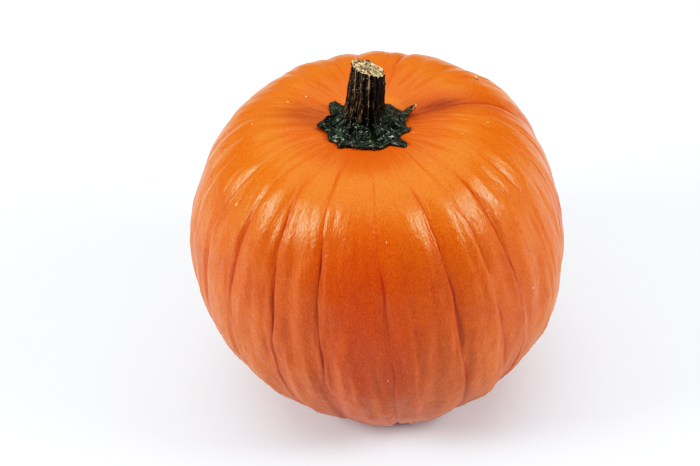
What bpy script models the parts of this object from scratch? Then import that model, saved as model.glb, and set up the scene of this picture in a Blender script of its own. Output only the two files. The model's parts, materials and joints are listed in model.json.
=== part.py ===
"""A whole ribbed pumpkin with its cut stem, in metres, +Z up.

It has the two pieces that it grew: the fruit, one solid from stem hollow to blossom end, and the
woody stem, whose star-shaped foot sits in the hollow. The fruit stands on a flat spot on its rib
bottoms, at z = 0 with the middle of its footprint at x = y = 0. The best side faces -Y, and
azimuths are counted from there towards +X.
"""

import math
from collections import namedtuple

import bmesh
import bpy
import numpy as np
from mathutils import Vector
from mathutils.bvhtree import BVHTree

COLLECTION = "pumpkin"

# The fruit, without its ribs: a turned shape whose radius and height follow the polar angle.
EQUATOR_RADIUS = 0.1238
POLE_RADIUS = 0.1252
FULLNESS = 0.94
TAPER_TO_TOP = -0.055
SHOULDER = 0.089
STEM_HOLLOW = (0.031, 0.063)
BLOSSOM_HOLLOW = (0.013, 0.026)
BELLY_SAG = (0.0065, 0.070, 0.026)
FLAT_LEVEL = -0.1195
FRUIT_SEGMENTS = 120
FRUIT_RINGS = 38

# The fruit is a little wider across than deep, and not quite round.
OVAL = ((2, -0.020, 0.007), (3, 0.008, 0.013))

# The furrows between the ribs: azimuth, sideways drift and bow from pole to pole, all in degrees,
# then depth in millimetres and half width in degrees.
Furrow = namedtuple("Furrow", "azimuth drift bow depth width")
FURROWS = (
    Furrow(0, 3, -1, 1.0, 4.0),
    Furrow(14, -6, 0, 0.6, 4.5),
    Furrow(22, 9, -3, 2.4, 6.0),
    Furrow(36, 12, 2, 1.3, 4.5),
    Furrow(44, 3, -14, 2.5, 6.0),
    Furrow(62, 2, 0, 0.8, 5.0),
    Furrow(76, -8, 2, 1.6, 5.0),
    Furrow(90, 2, 0, 1.0, 5.0),
    Furrow(104, 6, -5, 3.2, 7.0),
    Furrow(121, -3, 3, 1.4, 5.0),
    Furrow(137, 4, 0, 2.6, 6.5),
    Furrow(152, -5, 2, 1.2, 5.0),
    Furrow(168, 5, -4, 2.4, 6.0),
    Furrow(184, -2, 3, 1.1, 4.5),
    Furrow(199, 4, 0, 2.5, 6.5),
    Furrow(218, -3, 2, 1.3, 5.0),
    Furrow(238, 5, -4, 2.4, 6.0),
    Furrow(249, 0, 0, 1.0, 4.5),
    Furrow(261, 3, -3, 1.8, 5.0),
    Furrow(277, 0, 0, 0.9, 4.5),
    Furrow(289, -9, 5, 1.5, 5.0),
    Furrow(304, -7, 13, 2.0, 5.5),
    Furrow(322, 4, 1, 2.7, 6.5),
    Furrow(339, 2, -16, 2.6, 6.0),
    Furrow(351, 0, 1, 0.6, 4.5),
)
FURROWS_START = (10.0, 32.0)
FURROWS_END = (176.0, 160.0)

# The stem stands in the hollow, leans towards +X and has five ridges and a slanting cut.
STEM_HEIGHT = 0.0455
STEM_LEAN = 0.115
STEM_DEPTH_TO_WIDTH = 0.88
CUT_SLOPE = (-0.50, -0.26)
SHAFT_PROFILE = ((0.0105, 1.00), (0.0116, 0.97), (0.0120, 0.75), (0.0130, 0.50), (0.0146, 0.30))
FLARE_PROFILE = ((0.0165, 0.17), (0.0200, 0.10), (0.0240, 0.07))
SHAFT_RIDGES = 5
SHAFT_RIDGE_HEIGHT = 0.07
SHAFT_RIDGE_AZIMUTH = -20.0
FOOT_RADIUS = 0.0265
FOOT_EDGE_HEIGHT = 0.0022
FOOT_EDGE_SHARE = 0.985
STEM_SEGMENTS = 60
UNDERSIDE_SHARES = (0.985, 0.80, 0.60, 0.40, 0.20)
CUT_FACE_SHARES = (0.40, 0.80)
SEAT_GAP = 0.0004

# The points of the foot's star: azimuth and half width in degrees, and reach beyond its radius.
Point = namedtuple("Point", "azimuth width reach")
FOOT_POINTS = (
    Point(-126, 9, 0.0030),
    Point(-86, 9, 0.0040),
    Point(-44, 12, 0.0035),
    Point(8, 14, 0.0020),
    Point(40, 8, 0.0100),
    Point(67, 7, 0.0045),
    Point(101, 8, 0.0070),
    Point(150, 12, 0.0030),
    Point(-162, 10, 0.0035),
)

SKIN_COLOUR = (0.72, 0.15, 0.018)
STEM_COLOUR = (0.035, 0.030, 0.018)


def wrap_degrees(angle):
    """The same angle, from -180 to 180 degrees."""
    return (angle + 180.0) % 360.0 - 180.0


def smooth_step(start, end, value):
    """0 at start, 1 at end and an even S between them. Start may be the larger."""
    share = min(max((value - start) / (end - start), 0.0), 1.0)
    return share * share * (3.0 - 2.0 * share)


def bell(distance, width):
    """A rounded bump: 1 in the middle, about a third at one width."""
    return math.exp(-((distance / width) ** 2))


def turned_outline(polar):
    """The ribless fruit's radius and height at a polar angle in radians, 0 at the stem."""
    sine, cosine = math.sin(polar), math.cos(polar)
    fill = 1.0 + TAPER_TO_TOP * cosine + SHOULDER * cosine * cosine
    radius = EQUATOR_RADIUS * max(sine, 0.0) ** FULLNESS * fill
    height = POLE_RADIUS * cosine
    if cosine > 0.0:
        depth, width = STEM_HOLLOW
        return radius, height - depth * bell(radius, width)
    depth, width = BLOSSOM_HOLLOW
    sag, sag_radius, sag_width = BELLY_SAG
    height += depth * bell(radius, width) - sag * bell(radius - sag_radius, sag_width)
    return radius, height


def furrow_depth(polar, azimuth):
    """How deep the furrows cut at a polar angle in radians and an azimuth in degrees."""
    angle = math.degrees(polar)
    along = polar / math.pi - 0.5
    depth = 0.0
    for furrow in FURROWS:
        middle = furrow.azimuth + furrow.drift * along + furrow.bow * along * along
        depth += furrow.depth * bell(wrap_degrees(azimuth - middle), furrow.width)
    return 0.001 * depth * smooth_step(*FURROWS_START, angle) * smooth_step(*FURROWS_END, angle)


def fruit_point(polar, azimuth):
    """A point of the skin, before the fruit is stood on its flat spot."""
    radius, height = turned_outline(polar)
    turn = math.radians(azimuth)
    for waves, cosine, sine in OVAL:
        swell = cosine * math.cos(waves * turn) + sine * math.sin(waves * turn)
        radius *= 1.0 + math.sin(polar) * swell
    point = Vector((radius * math.sin(turn), -radius * math.cos(turn), height))
    point *= 1.0 - furrow_depth(polar, azimuth) / point.length
    point.z = max(point.z, FLAT_LEVEL)
    return point


def shaft_section(azimuth):
    """The shaft's radius at an azimuth in degrees, as a share of its half width."""
    turn = math.radians(azimuth)
    oval = math.hypot(math.sin(turn), math.cos(turn) * STEM_DEPTH_TO_WIDTH)
    ridges = math.cos(SHAFT_RIDGES * math.radians(azimuth - SHAFT_RIDGE_AZIMUTH))
    return oval * (1.0 - SHAFT_RIDGE_HEIGHT + SHAFT_RIDGE_HEIGHT * ridges)


def foot_reach(azimuth):
    """The radius of the foot's star at an azimuth in degrees."""
    reach = FOOT_RADIUS
    for point in FOOT_POINTS:
        reach += point.reach * bell(wrap_degrees(azimuth - point.azimuth), point.width)
    return reach


def stem_rings(skin_height):
    """The stem's rings from the cut face down to the underside, each a function of azimuth.

    A ring gives a point above the stem's seat. The skin's height at (x, y) is skin_height(x, y).
    """

    def above_seat(radius, azimuth, level):
        turn = math.radians(azimuth)
        x = radius * math.sin(turn) + STEM_LEAN * level
        return Vector((x, -radius * math.cos(turn), level))

    def on_cut(share):
        def ring(azimuth):
            radius = share * SHAFT_PROFILE[0][0] * shaft_section(azimuth)
            point = above_seat(radius, azimuth, STEM_HEIGHT)
            across = point.x - STEM_LEAN * STEM_HEIGHT
            point.z += CUT_SLOPE[0] * across + CUT_SLOPE[1] * point.y
            return point

        return ring

    def on_shaft(half_width, share):
        def ring(azimuth):
            point = above_seat(half_width * shaft_section(azimuth), azimuth, share * STEM_HEIGHT)
            across = point.x - STEM_LEAN * point.z
            point.z += share * (CUT_SLOPE[0] * across + CUT_SLOPE[1] * point.y)
            return point

        return ring

    def on_flare(half_width, share):
        def ring(azimuth):
            spread = smooth_step(SHAFT_PROFILE[-1][0], FOOT_RADIUS, half_width)
            section = shaft_section(azimuth) * (1.0 - spread)
            section += spread * foot_reach(azimuth) / FOOT_RADIUS
            point = above_seat(half_width * section, azimuth, 0.0)
            point.z = skin_height(point.x, point.y) + share * STEM_HEIGHT
            return point

        return ring

    def on_skin(share, lift):
        def ring(azimuth):
            point = above_seat(share * foot_reach(azimuth), azimuth, 0.0)
            point.z = skin_height(point.x, point.y) + lift
            return point

        return ring

    rings = [on_cut(share) for share in (0.0,) + CUT_FACE_SHARES + (1.0,)]
    rings += [on_shaft(*row) for row in SHAFT_PROFILE[1:]]
    rings += [on_flare(*row) for row in FLARE_PROFILE]
    rings += [on_skin(FOOT_EDGE_SHARE, FOOT_EDGE_HEIGHT), on_skin(1.0, FOOT_EDGE_HEIGHT / 2)]
    rings += [on_skin(share, SEAT_GAP) for share in UNDERSIDE_SHARES + (0.0,)]
    return rings


def sphere_mesh(name, segments, rings, place):
    """A UV sphere whose vertices are moved to place(ring, azimuth), ring 0 at the top pole."""
    shape = bmesh.new()
    bmesh.ops.create_uvsphere(shape, u_segments=segments, v_segments=rings, radius=1.0)
    for vertex in shape.verts:
        polar = math.acos(max(-1.0, min(1.0, vertex.co.z)))
        azimuth = math.degrees(math.atan2(vertex.co.x, -vertex.co.y))
        vertex.co = place(round(polar / math.pi * rings), azimuth)
    bmesh.ops.recalc_face_normals(shape, faces=shape.faces)
    mesh = bpy.data.meshes.new(name)
    shape.to_mesh(mesh)
    shape.free()
    mesh.shade_smooth()
    return mesh


def add_object(name, mesh, material, collection):
    """Puts the mesh in the collection as an object with one material."""
    mesh.materials.append(material)
    piece = bpy.data.objects.new(name, mesh)
    collection.objects.link(piece)
    return piece


def surface_material(name, colour, roughness):
    """A Principled material with one colour and roughness."""
    material = bpy.data.materials.new(name)
    material.use_nodes = True
    shader = material.node_tree.nodes["Principled BSDF"]
    shader.inputs["Base Color"].default_value = (*colour, 1.0)
    shader.inputs["Roughness"].default_value = roughness
    shader.inputs["Metallic"].default_value = 0.0
    return material


def build_fruit(collection):
    """The whole fruit, stood on its flat spot with its footprint in the middle."""

    def place(ring, azimuth):
        return fruit_point(math.pi * ring / FRUIT_RINGS, azimuth)

    mesh = sphere_mesh("fruit", FRUIT_SEGMENTS, FRUIT_RINGS, place)
    corners = np.array([vertex.co for vertex in mesh.vertices])
    low, high = corners.min(axis=0), corners.max(axis=0)
    shift = Vector((-(low[0] + high[0]) / 2, -(low[1] + high[1]) / 2, -low[2]))
    for vertex in mesh.vertices:
        vertex.co += shift
    return add_object("fruit", mesh, surface_material("rind", SKIN_COLOUR, 0.4), collection)


def build_stem(collection, fruit):
    """The stem, seated on the fruit's skin in the stem hollow."""
    skin = BVHTree.FromPolygons(
        [vertex.co for vertex in fruit.data.vertices],
        [list(face.vertices) for face in fruit.data.polygons],
    )
    well_above = fruit.data.vertices[0].co.z + 2 * POLE_RADIUS
    pole = fruit_point(0.0, 0.0)
    standing = min(vertex.co.z for vertex in fruit.data.vertices) - FLAT_LEVEL
    seat = Vector((pole.x, pole.y, pole.z + standing))

    def skin_height(x, y):
        start = seat + Vector((x, y, well_above))
        return skin.ray_cast(start, Vector((0.0, 0.0, -1.0)))[0].z - seat.z

    rings = stem_rings(skin_height)

    def place(ring, azimuth):
        return seat + rings[ring](azimuth)

    mesh = sphere_mesh("stem", STEM_SEGMENTS, len(rings) - 1, place)
    return add_object("stem", mesh, surface_material("stem_wood", STEM_COLOUR, 0.5), collection)


def main():
    for leftover in list(bpy.data.objects):
        bpy.data.objects.remove(leftover)
    collection = bpy.data.collections.new(COLLECTION)
    bpy.context.scene.collection.children.link(collection)
    fruit = build_fruit(collection)
    build_stem(collection, fruit)


main()
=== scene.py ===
"""A ribbed carving pumpkin with its cut stem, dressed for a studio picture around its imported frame.

Lengths are in metres unless a name says mm. Azimuths are in degrees from the front, -Y, towards
+X, and polar angles in degrees from the stem down to the blossom end.
"""

from __future__ import annotations

import json
import logging
import math
from dataclasses import dataclass
from enum import Enum

import bmesh
import bpy
import numpy as np
from bpy.types import Material, Mesh, Node, NodeSocket, NodeTree, Object
from mathutils import Matrix, Vector
from mathutils.bvhtree import BVHTree

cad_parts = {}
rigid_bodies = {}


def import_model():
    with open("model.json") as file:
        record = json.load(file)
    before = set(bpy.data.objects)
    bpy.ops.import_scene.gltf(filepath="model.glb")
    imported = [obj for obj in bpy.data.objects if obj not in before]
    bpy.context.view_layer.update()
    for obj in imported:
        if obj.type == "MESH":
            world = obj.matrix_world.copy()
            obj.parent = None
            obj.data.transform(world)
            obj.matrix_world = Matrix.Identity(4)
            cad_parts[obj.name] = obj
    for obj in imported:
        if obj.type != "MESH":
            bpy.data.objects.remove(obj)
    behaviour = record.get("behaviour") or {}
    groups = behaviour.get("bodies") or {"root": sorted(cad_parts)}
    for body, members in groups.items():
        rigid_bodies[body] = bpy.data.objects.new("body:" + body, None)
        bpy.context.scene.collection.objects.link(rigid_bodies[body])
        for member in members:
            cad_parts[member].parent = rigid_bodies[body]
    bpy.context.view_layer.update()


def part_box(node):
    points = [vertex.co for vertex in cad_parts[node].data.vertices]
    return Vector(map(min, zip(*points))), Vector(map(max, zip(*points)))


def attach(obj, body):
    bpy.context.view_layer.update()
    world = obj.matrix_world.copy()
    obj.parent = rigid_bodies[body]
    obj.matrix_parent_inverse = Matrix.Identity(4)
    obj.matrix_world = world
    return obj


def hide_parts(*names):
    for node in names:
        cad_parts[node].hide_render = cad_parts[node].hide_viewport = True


LOG = logging.getLogger("pumpkin")
MM = 0.001

MATH, VECTOR_MATH = "ShaderNodeMath", "ShaderNodeVectorMath"
NOISE, CELLS = "ShaderNodeTexNoise", "ShaderNodeTexVoronoi"
SPAN, MIX, KEPT = "ShaderNodeMapRange", "ShaderNodeMix", "ShaderNodeAttribute"
NAMED, STORE = "GeometryNodeInputNamedAttribute", "GeometryNodeStoreNamedAttribute"
MOVE, TRANSFORM = "GeometryNodeSetPosition", "GeometryNodeTransform"
BALL, INSTANCE = "GeometryNodeMeshUVSphere", "GeometryNodeInstanceOnPoints"
RANDOM, ALIGN = "FunctionNodeRandomValue", "FunctionNodeAlignRotationToVector"

# The texture values that count as a dip and as a bump, for noise and for the cells of blisters.
NOISE_SPAN, CELL_SPAN = (0.3, 0.7), (0.75, 0.05)
NOISE_DETAIL = 2.0
# How far apart in the endless pattern two tints of one finish lie, in metres.
TINT_SEED_STEP = 0.37
# How many times longer patches of one gloss are along the growth than across it.
GLOSS_STRETCH = 2.0

DOWN = Vector((0.0, 0.0, -1.0))
# How far above the stem's seat the rays start that find the skin under it.
ABOVE_SEAT = 0.05

Array = np.ndarray
Flow = Node | NodeSocket
Span = tuple[float, float]
Rgba = tuple[float, float, float, float]


class Grain(Enum):
    """The kinds of unevenness that a grown surface has."""

    SOFT = "soft"
    RIDGED = "ridged"
    BLISTERED = "blistered"


class Sprig(Enum):
    """The small shapes that are sprinkled over a surface."""

    PRICKLE = "prickle"
    STRAND = "strand"
    DOME = "dome"


# ---------------------------------------------------------------------------- small tools


def linear(code: str) -> Rgba:
    """Turns an sRGB hex colour into a linear one with full alpha.

    Args:
        code: six hex digits, with or without a leading #.

    Returns:
        Red, green and blue in linear light, and an alpha of 1.
    """
    digits = code.lstrip("#")
    shares = [int(digits[i : i + 2], 16) / 255 for i in (0, 2, 4)]
    light = [s / 12.92 if s <= 0.04045 else ((s + 0.055) / 1.055) ** 2.4 for s in shares]
    return (light[0], light[1], light[2], 1.0)


def add_node(
    tree: NodeTree, kind: str, inputs: dict | None = None, **settings: str | NodeTree
) -> Node:
    """Adds a node with its settings, and a value or a link on each input named.

    Args:
        tree: the node tree that gets the node.
        kind: the node's type name.
        inputs: a value, a socket or a node for each input, by socket name, identifier or index. A
            node stands for its first output in use.
        settings: the node's own properties.

    Returns:
        The new node.
    """
    node = tree.nodes.new(kind)
    for name, value in settings.items():
        setattr(node, name, value)
    for key, value in (inputs or {}).items():
        if isinstance(key, int):
            socket = node.inputs[key]
        else:
            socket = next(s for s in node.inputs if s.enabled and key in (s.name, s.identifier))
        if isinstance(value, Node):
            value = next(s for s in value.outputs if s.enabled)
        if isinstance(value, NodeSocket):
            tree.links.new(value, socket)
        else:
            socket.default_value = value
    return node


def smooth_step(start: float, end: float, value: Array | float) -> Array:
    """0 at start, 1 at end and an even S between them; start may be the larger."""
    share = np.clip((np.asarray(value) - start) / (end - start), 0.0, 1.0)
    return share * share * (3.0 - 2.0 * share)


def bell(distance: Array | float, width: float) -> Array:
    """A rounded bump: 1 in the middle, about a third at one width."""
    return np.exp(-((np.asarray(distance) / width) ** 2))


def at_least(least: float, share: Array) -> Array:
    """A share that runs from least to 1 where the given one runs from 0 to 1."""
    return least + (1.0 - least) * share


def wrap(angle: Array | float) -> Array:
    """The same angle, from -180 to 180 degrees."""
    return (np.asarray(angle) + 180.0) % 360.0 - 180.0


def closed_grid(name: str, columns: int, rings: int) -> tuple[Mesh, Array, Array]:
    """Makes a closed mesh of rings between two poles, with faces that point out.

    Args:
        name: the mesh's name.
        columns: the number of points round each ring.
        rings: the number of rows of faces from pole to pole.

    Returns:
        The mesh, with every point at the origin, and each vertex's ring, from 0 at the top pole,
        and column, from 0 at the front.
    """
    inner = np.arange(1, 1 + (rings - 1) * columns).reshape(rings - 1, columns)
    beside = np.roll(inner, -1, axis=1)
    last = int(inner[-1, -1]) + 1
    faces = [(0, int(i), int(j)) for i, j in zip(inner[0], beside[0])]
    quads = np.stack([inner[:-1], inner[1:], beside[1:], beside[:-1]], axis=-1).reshape(-1, 4)
    faces += [tuple(quad) for quad in quads.tolist()]
    faces += [(last, int(j), int(i)) for i, j in zip(inner[-1], beside[-1])]
    mesh = bpy.data.meshes.new(name)
    mesh.from_pydata([(0.0, 0.0, 0.0)] * (last + 1), [], faces)
    ring = np.concatenate([[0], np.repeat(np.arange(1, rings), columns), [rings]])
    column = np.concatenate([[0], np.tile(np.arange(columns), rings - 1), [0]])
    return mesh, ring, column


def store(mesh: Mesh, name: str, values: Array) -> None:
    """Writes a number or a vector for each vertex as a named attribute of the mesh.

    Args:
        mesh: the mesh that gets the attribute.
        name: the attribute's name.
        values: one number a vertex, or one row of three.
    """
    kind, key = ("FLOAT_VECTOR", "vector") if values.ndim == 2 else ("FLOAT", "value")
    attribute = mesh.attributes.new(name, kind, "POINT")
    attribute.data.foreach_set(key, values.astype(np.float32).ravel())


def read(mesh: Mesh, name: str) -> Array:
    """Reads each vertex's number in a named attribute.

    Args:
        mesh: the mesh that has the attribute.
        name: the attribute's name.

    Returns:
        One number a vertex.
    """
    values = np.zeros(len(mesh.vertices), np.float32)
    mesh.attributes[name].data.foreach_get("value", values)
    return values


def place(mesh: Mesh, points: Array) -> None:
    """Moves the mesh's vertices to these points."""
    mesh.vertices.foreach_set("co", points.astype(np.float32).ravel())
    mesh.update()


def points_of(mesh: Mesh) -> Array:
    """Reads where the mesh's vertices are.

    Args:
        mesh: the mesh.

    Returns:
        One row of three a vertex.
    """
    points = np.zeros(len(mesh.vertices) * 3, np.float32)
    mesh.vertices.foreach_get("co", points)
    return points.reshape(-1, 3).astype(float)


def new_object(name: str, mesh: Mesh) -> Object:
    """Puts an object for the mesh in the scene, at the origin.

    Args:
        name: the object's name.
        mesh: its mesh.

    Returns:
        The new object.
    """
    piece = bpy.data.objects.new(name, mesh)
    bpy.context.scene.collection.objects.link(piece)
    return piece


def grow(piece: Object, tree: NodeTree, sizes: dict[str, float] | None = None) -> None:
    """Runs a Geometry Nodes tree on a piece and keeps the result as its plain mesh.

    Args:
        piece: the object whose mesh goes in, and which gets the new one.
        tree: the Geometry Nodes tree.
        sizes: a value for each of the tree's inputs that isn't left at its default, by name.
    """
    modifier = piece.modifiers.new(tree.name, "NODES")
    modifier.node_group = tree
    sockets = {s.name: s.identifier for s in tree.interface.items_tree if s.in_out == "INPUT"}
    for name, value in (sizes or {}).items():
        modifier[sockets[name]] = value
    graph = bpy.context.evaluated_depsgraph_get()
    graph.update()
    before = piece.data
    mesh = bpy.data.meshes.new_from_object(piece.evaluated_get(graph), depsgraph=graph)
    piece.modifiers.remove(modifier)
    piece.data = mesh
    name = before.name
    bpy.data.meshes.remove(before)
    mesh.name = name
    mesh.shade_smooth()


def new_tree(name: str, numbers: tuple[str, ...]) -> tuple[NodeTree, Node]:
    """Starts a Geometry Nodes tree that takes a mesh and some numbers and gives a mesh.

    Args:
        name: the tree's name.
        numbers: the name of each input beside the mesh.

    Returns:
        The tree and its group input.
    """
    tree = bpy.data.node_groups.new(name, "GeometryNodeTree")
    for direction in ("INPUT", "OUTPUT"):
        tree.interface.new_socket("Geometry", in_out=direction, socket_type="NodeSocketGeometry")
    for label in numbers:
        tree.interface.new_socket(label, in_out="INPUT", socket_type="NodeSocketFloat")
    return tree, add_node(tree, "NodeGroupInput")


def close_tree(tree: NodeTree, flow: Flow, finishes: dict[str, Material]) -> None:
    """Ends a tree: makes instances real and gives the mesh its materials.

    Args:
        tree: the Geometry Nodes tree.
        flow: the geometry so far.
        finishes: a material for each attribute that is above a half where the material lies, or for
            an empty name, which means everywhere.
    """
    flow = add_node(tree, "GeometryNodeRealizeInstances", {"Geometry": flow})
    for where, finish in finishes.items():
        inputs = {"Geometry": flow, "Material": finish}
        if where:
            here = add_node(tree, NAMED, {"Name": where}, data_type="FLOAT")
            inputs["Selection"] = add_node(tree, MATH, {0: here, 1: 0.5}, operation="GREATER_THAN")
        flow = add_node(tree, "GeometryNodeSetMaterial", inputs)
    add_node(tree, "NodeGroupOutput", {"Geometry": flow})


# ---------------------------------------------------------------------------- relief and finish


@dataclass(frozen=True)
class Relief:
    """A layer of bumps over a grown surface, as real shape or as the fine bump of a finish.

    Attributes:
        grain: the kind of bumps.
        feature_mm: the distance from bump to bump.
        height_mm: how far the highest stand out.
        stretch: how many times longer the bumps are along the growth than across it.
        mask: the attribute that says where the layer shows, or empty for everywhere.
        seed: which of the endless patterns is used.
    """

    grain: Grain
    feature_mm: float
    height_mm: float
    stretch: float = 1.0
    mask: str = ""
    seed: float = 0.0

    def level(self, tree: NodeTree, skin: Flow) -> Node:
        """Adds the pattern, from about -1 in the dips to 1 on the bumps.

        Args:
            tree: a Geometry Nodes or a shader tree.
            skin: the surface's own coordinates, with the growth along Z.

        Returns:
            The node that gives the level.
        """
        shift = {0: skin, 1: (1.0, 1.0, 1.0 / self.stretch), 2: (self.seed,) * 3}
        at = add_node(tree, VECTOR_MATH, shift, operation="MULTIPLY_ADD")
        spread = {"Vector": at, "Scale": 1.0 / (self.feature_mm * MM)}
        if self.grain is Grain.BLISTERED:
            bumps = add_node(tree, CELLS, spread, feature="SMOOTH_F1")
            dip, bump = CELL_SPAN
            return add_node(tree, SPAN, {0: bumps, 1: dip, 2: bump, 3: -1.0, 4: 1.0})
        bumps = add_node(tree, NOISE, spread | {"Detail": NOISE_DETAIL})
        dip, bump = NOISE_SPAN
        level = add_node(tree, SPAN, {0: bumps, 1: dip, 2: bump, 3: -1.0, 4: 1.0})
        if self.grain is Grain.RIDGED:
            fold = add_node(tree, MATH, {0: level}, operation="ABSOLUTE")
            level = add_node(tree, MATH, {0: fold, 1: -2.0, 2: 1.0}, operation="MULTIPLY_ADD")
        return level


def raise_relief(tree: NodeTree, flow: Flow, layers: tuple[Relief, ...], amount: Flow) -> Node:
    """Raises layers of bumps on a mesh along its normals, laid over its skin attribute.

    Args:
        tree: the Geometry Nodes tree.
        flow: the geometry so far.
        layers: the layers, which add up.
        amount: how much of their heights is used.

    Returns:
        The node that gives the raised geometry.
    """
    skin = add_node(tree, NAMED, {"Name": "skin"}, data_type="FLOAT_VECTOR")
    height: Flow | float = 0.0
    for layer in layers:
        level = {0: layer.level(tree, skin), 1: layer.height_mm * MM}
        raised = add_node(tree, MATH, level, operation="MULTIPLY")
        mask: Flow | float = 1.0
        if layer.mask:
            mask = add_node(tree, NAMED, {"Name": layer.mask}, data_type="FLOAT")
        height = add_node(tree, MATH, {0: raised, 1: mask, 2: height}, operation="MULTIPLY_ADD")
    height = add_node(tree, MATH, {0: height, 1: amount}, operation="MULTIPLY")
    normal = add_node(tree, "GeometryNodeInputNormal")
    offset = add_node(tree, VECTOR_MATH, {0: normal, "Scale": height}, operation="SCALE")
    return add_node(tree, MOVE, {"Geometry": flow, "Offset": offset})


@dataclass(frozen=True)
class Tint:
    """A colour laid over the ones before it, where a pattern's level lies in a span.

    Attributes:
        colour: its sRGB hex code.
        span: the levels at which it starts to show and is at its fullest.
        share: how much of it shows at its fullest.
        source: the attribute whose value it follows, or empty for a pattern.
        grain: the kind of pattern.
        feature_mm: the pattern's size.
        stretch: how many times longer its features are along the growth than across it.
        inside: the attribute that limits it, or empty for everywhere.
    """

    colour: str
    span: Span
    share: float
    source: str = ""
    grain: Grain = Grain.SOFT
    feature_mm: float = 1.0
    stretch: float = 1.0
    inside: str = ""

    def over(self, tree: NodeTree, skin: Flow, under: Rgba | NodeSocket, seed: float) -> NodeSocket:
        """Lays the tint over the colours before it.

        Args:
            tree: the material's tree.
            skin: the surface's own coordinates.
            under: the colour so far.
            seed: which of the endless patterns is used.

        Returns:
            The socket that gives the new colour.
        """
        if self.source:
            level = add_node(tree, KEPT, attribute_name=self.source).outputs["Fac"]
        else:
            pattern = Relief(self.grain, self.feature_mm, 1.0, self.stretch, seed=seed)
            level = pattern.level(tree, skin)
        spans = {0: level, 1: self.span[0], 2: self.span[1], 3: 0.0, 4: self.share}
        share = add_node(tree, SPAN, spans, interpolation_type="SMOOTHSTEP")
        if self.inside:
            inside = add_node(tree, KEPT, attribute_name=self.inside).outputs["Fac"]
            share = add_node(tree, MATH, {0: share, 1: inside}, operation="MULTIPLY")
        blend = {"Factor": share, "A_Color": under, "B_Color": linear(self.colour)}
        return next(s for s in add_node(tree, MIX, blend, data_type="RGBA").outputs if s.enabled)


@dataclass(frozen=True)
class Finish:
    """A material: a base colour with tints over it, an uneven gloss and fine bumps.

    Attributes:
        name: the real material and how its surface was made.
        base: the sRGB hex code of its main colour.
        tints: the colours laid over it, in order.
        bumps: the layers of bumps that are too fine for the mesh.
        gloss: the least and most roughness.
        gloss_mm: the size of the patches that differ in gloss.
        specular: the specular level of the skin itself.
        wax: the weight of the wax over it.
        wax_roughness: the wax's own roughness.
    """

    name: str
    base: str
    tints: tuple[Tint, ...] = ()
    bumps: tuple[Relief, ...] = ()
    gloss: Span = (0.4, 0.5)
    gloss_mm: float = 5.0
    specular: float = 0.5
    wax: float = 0.0
    wax_roughness: float = 0.2

    def hue(self, tree: NodeTree, skin: Flow) -> NodeSocket:
        """Lays the tints over the base colour.

        Args:
            tree: the material's tree.
            skin: the surface's own coordinates.

        Returns:
            The socket that gives the colour.
        """
        hue: Rgba | NodeSocket = linear(self.base)
        for turn, tint in enumerate(self.tints):
            hue = tint.over(tree, skin, hue, turn * TINT_SEED_STEP)
        return hue

    def roughness(self, tree: NodeTree, skin: Flow) -> NodeSocket:
        """Makes the gloss differ from patch to patch.

        Args:
            tree: the material's tree.
            skin: the surface's own coordinates.

        Returns:
            The socket that gives the roughness.
        """
        patches = Relief(Grain.SOFT, self.gloss_mm, 1.0, GLOSS_STRETCH).level(tree, skin)
        spans = {0: patches, 1: -1.0, 2: 1.0, 3: self.gloss[0], 4: self.gloss[1]}
        return add_node(tree, SPAN, spans).outputs[0]

    def bump(self, tree: NodeTree, skin: Flow) -> NodeSocket:
        """Adds up the layers of fine bumps.

        Args:
            tree: the material's tree.
            skin: the surface's own coordinates.

        Returns:
            The socket that gives the bumpy normal.
        """
        height: Flow | float = 0.0
        for layer in self.bumps:
            level = {0: layer.level(tree, skin), 1: layer.height_mm}
            raised = add_node(tree, MATH, level, operation="MULTIPLY")
            mask: Flow | float = 1.0
            if layer.mask:
                mask = add_node(tree, KEPT, attribute_name=layer.mask).outputs["Fac"]
            height = add_node(tree, MATH, {0: raised, 1: mask, 2: height}, operation="MULTIPLY_ADD")
        inputs = {"Height": height, "Strength": 1.0, "Distance": MM}
        return add_node(tree, "ShaderNodeBump", inputs).outputs[0]

    def material(self) -> Material:
        """Builds the material's nodes.

        Returns:
            The material, which reads the skin attribute and those that its tints and bumps name.
        """
        material = bpy.data.materials.new(self.name)
        material.use_nodes = True
        tree = material.node_tree
        shader = tree.nodes["Principled BSDF"]
        skin = add_node(tree, KEPT, attribute_name="skin").outputs["Vector"]
        shader.inputs["Base Color"].default_value = linear(self.base)
        shader.inputs["Specular IOR Level"].default_value = self.specular
        shader.inputs["Coat Weight"].default_value = self.wax
        shader.inputs["Coat Roughness"].default_value = self.wax_roughness
        bumpy = self.bump(tree, skin)
        fed = {"Roughness": self.roughness(tree, skin), "Normal": bumpy}
        if self.tints:
            fed["Base Color"] = self.hue(tree, skin)
        if self.wax:
            fed["Coat Normal"] = bumpy
        for name, source in fed.items():
            tree.links.new(source, shader.inputs[name])
        return material


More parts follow.
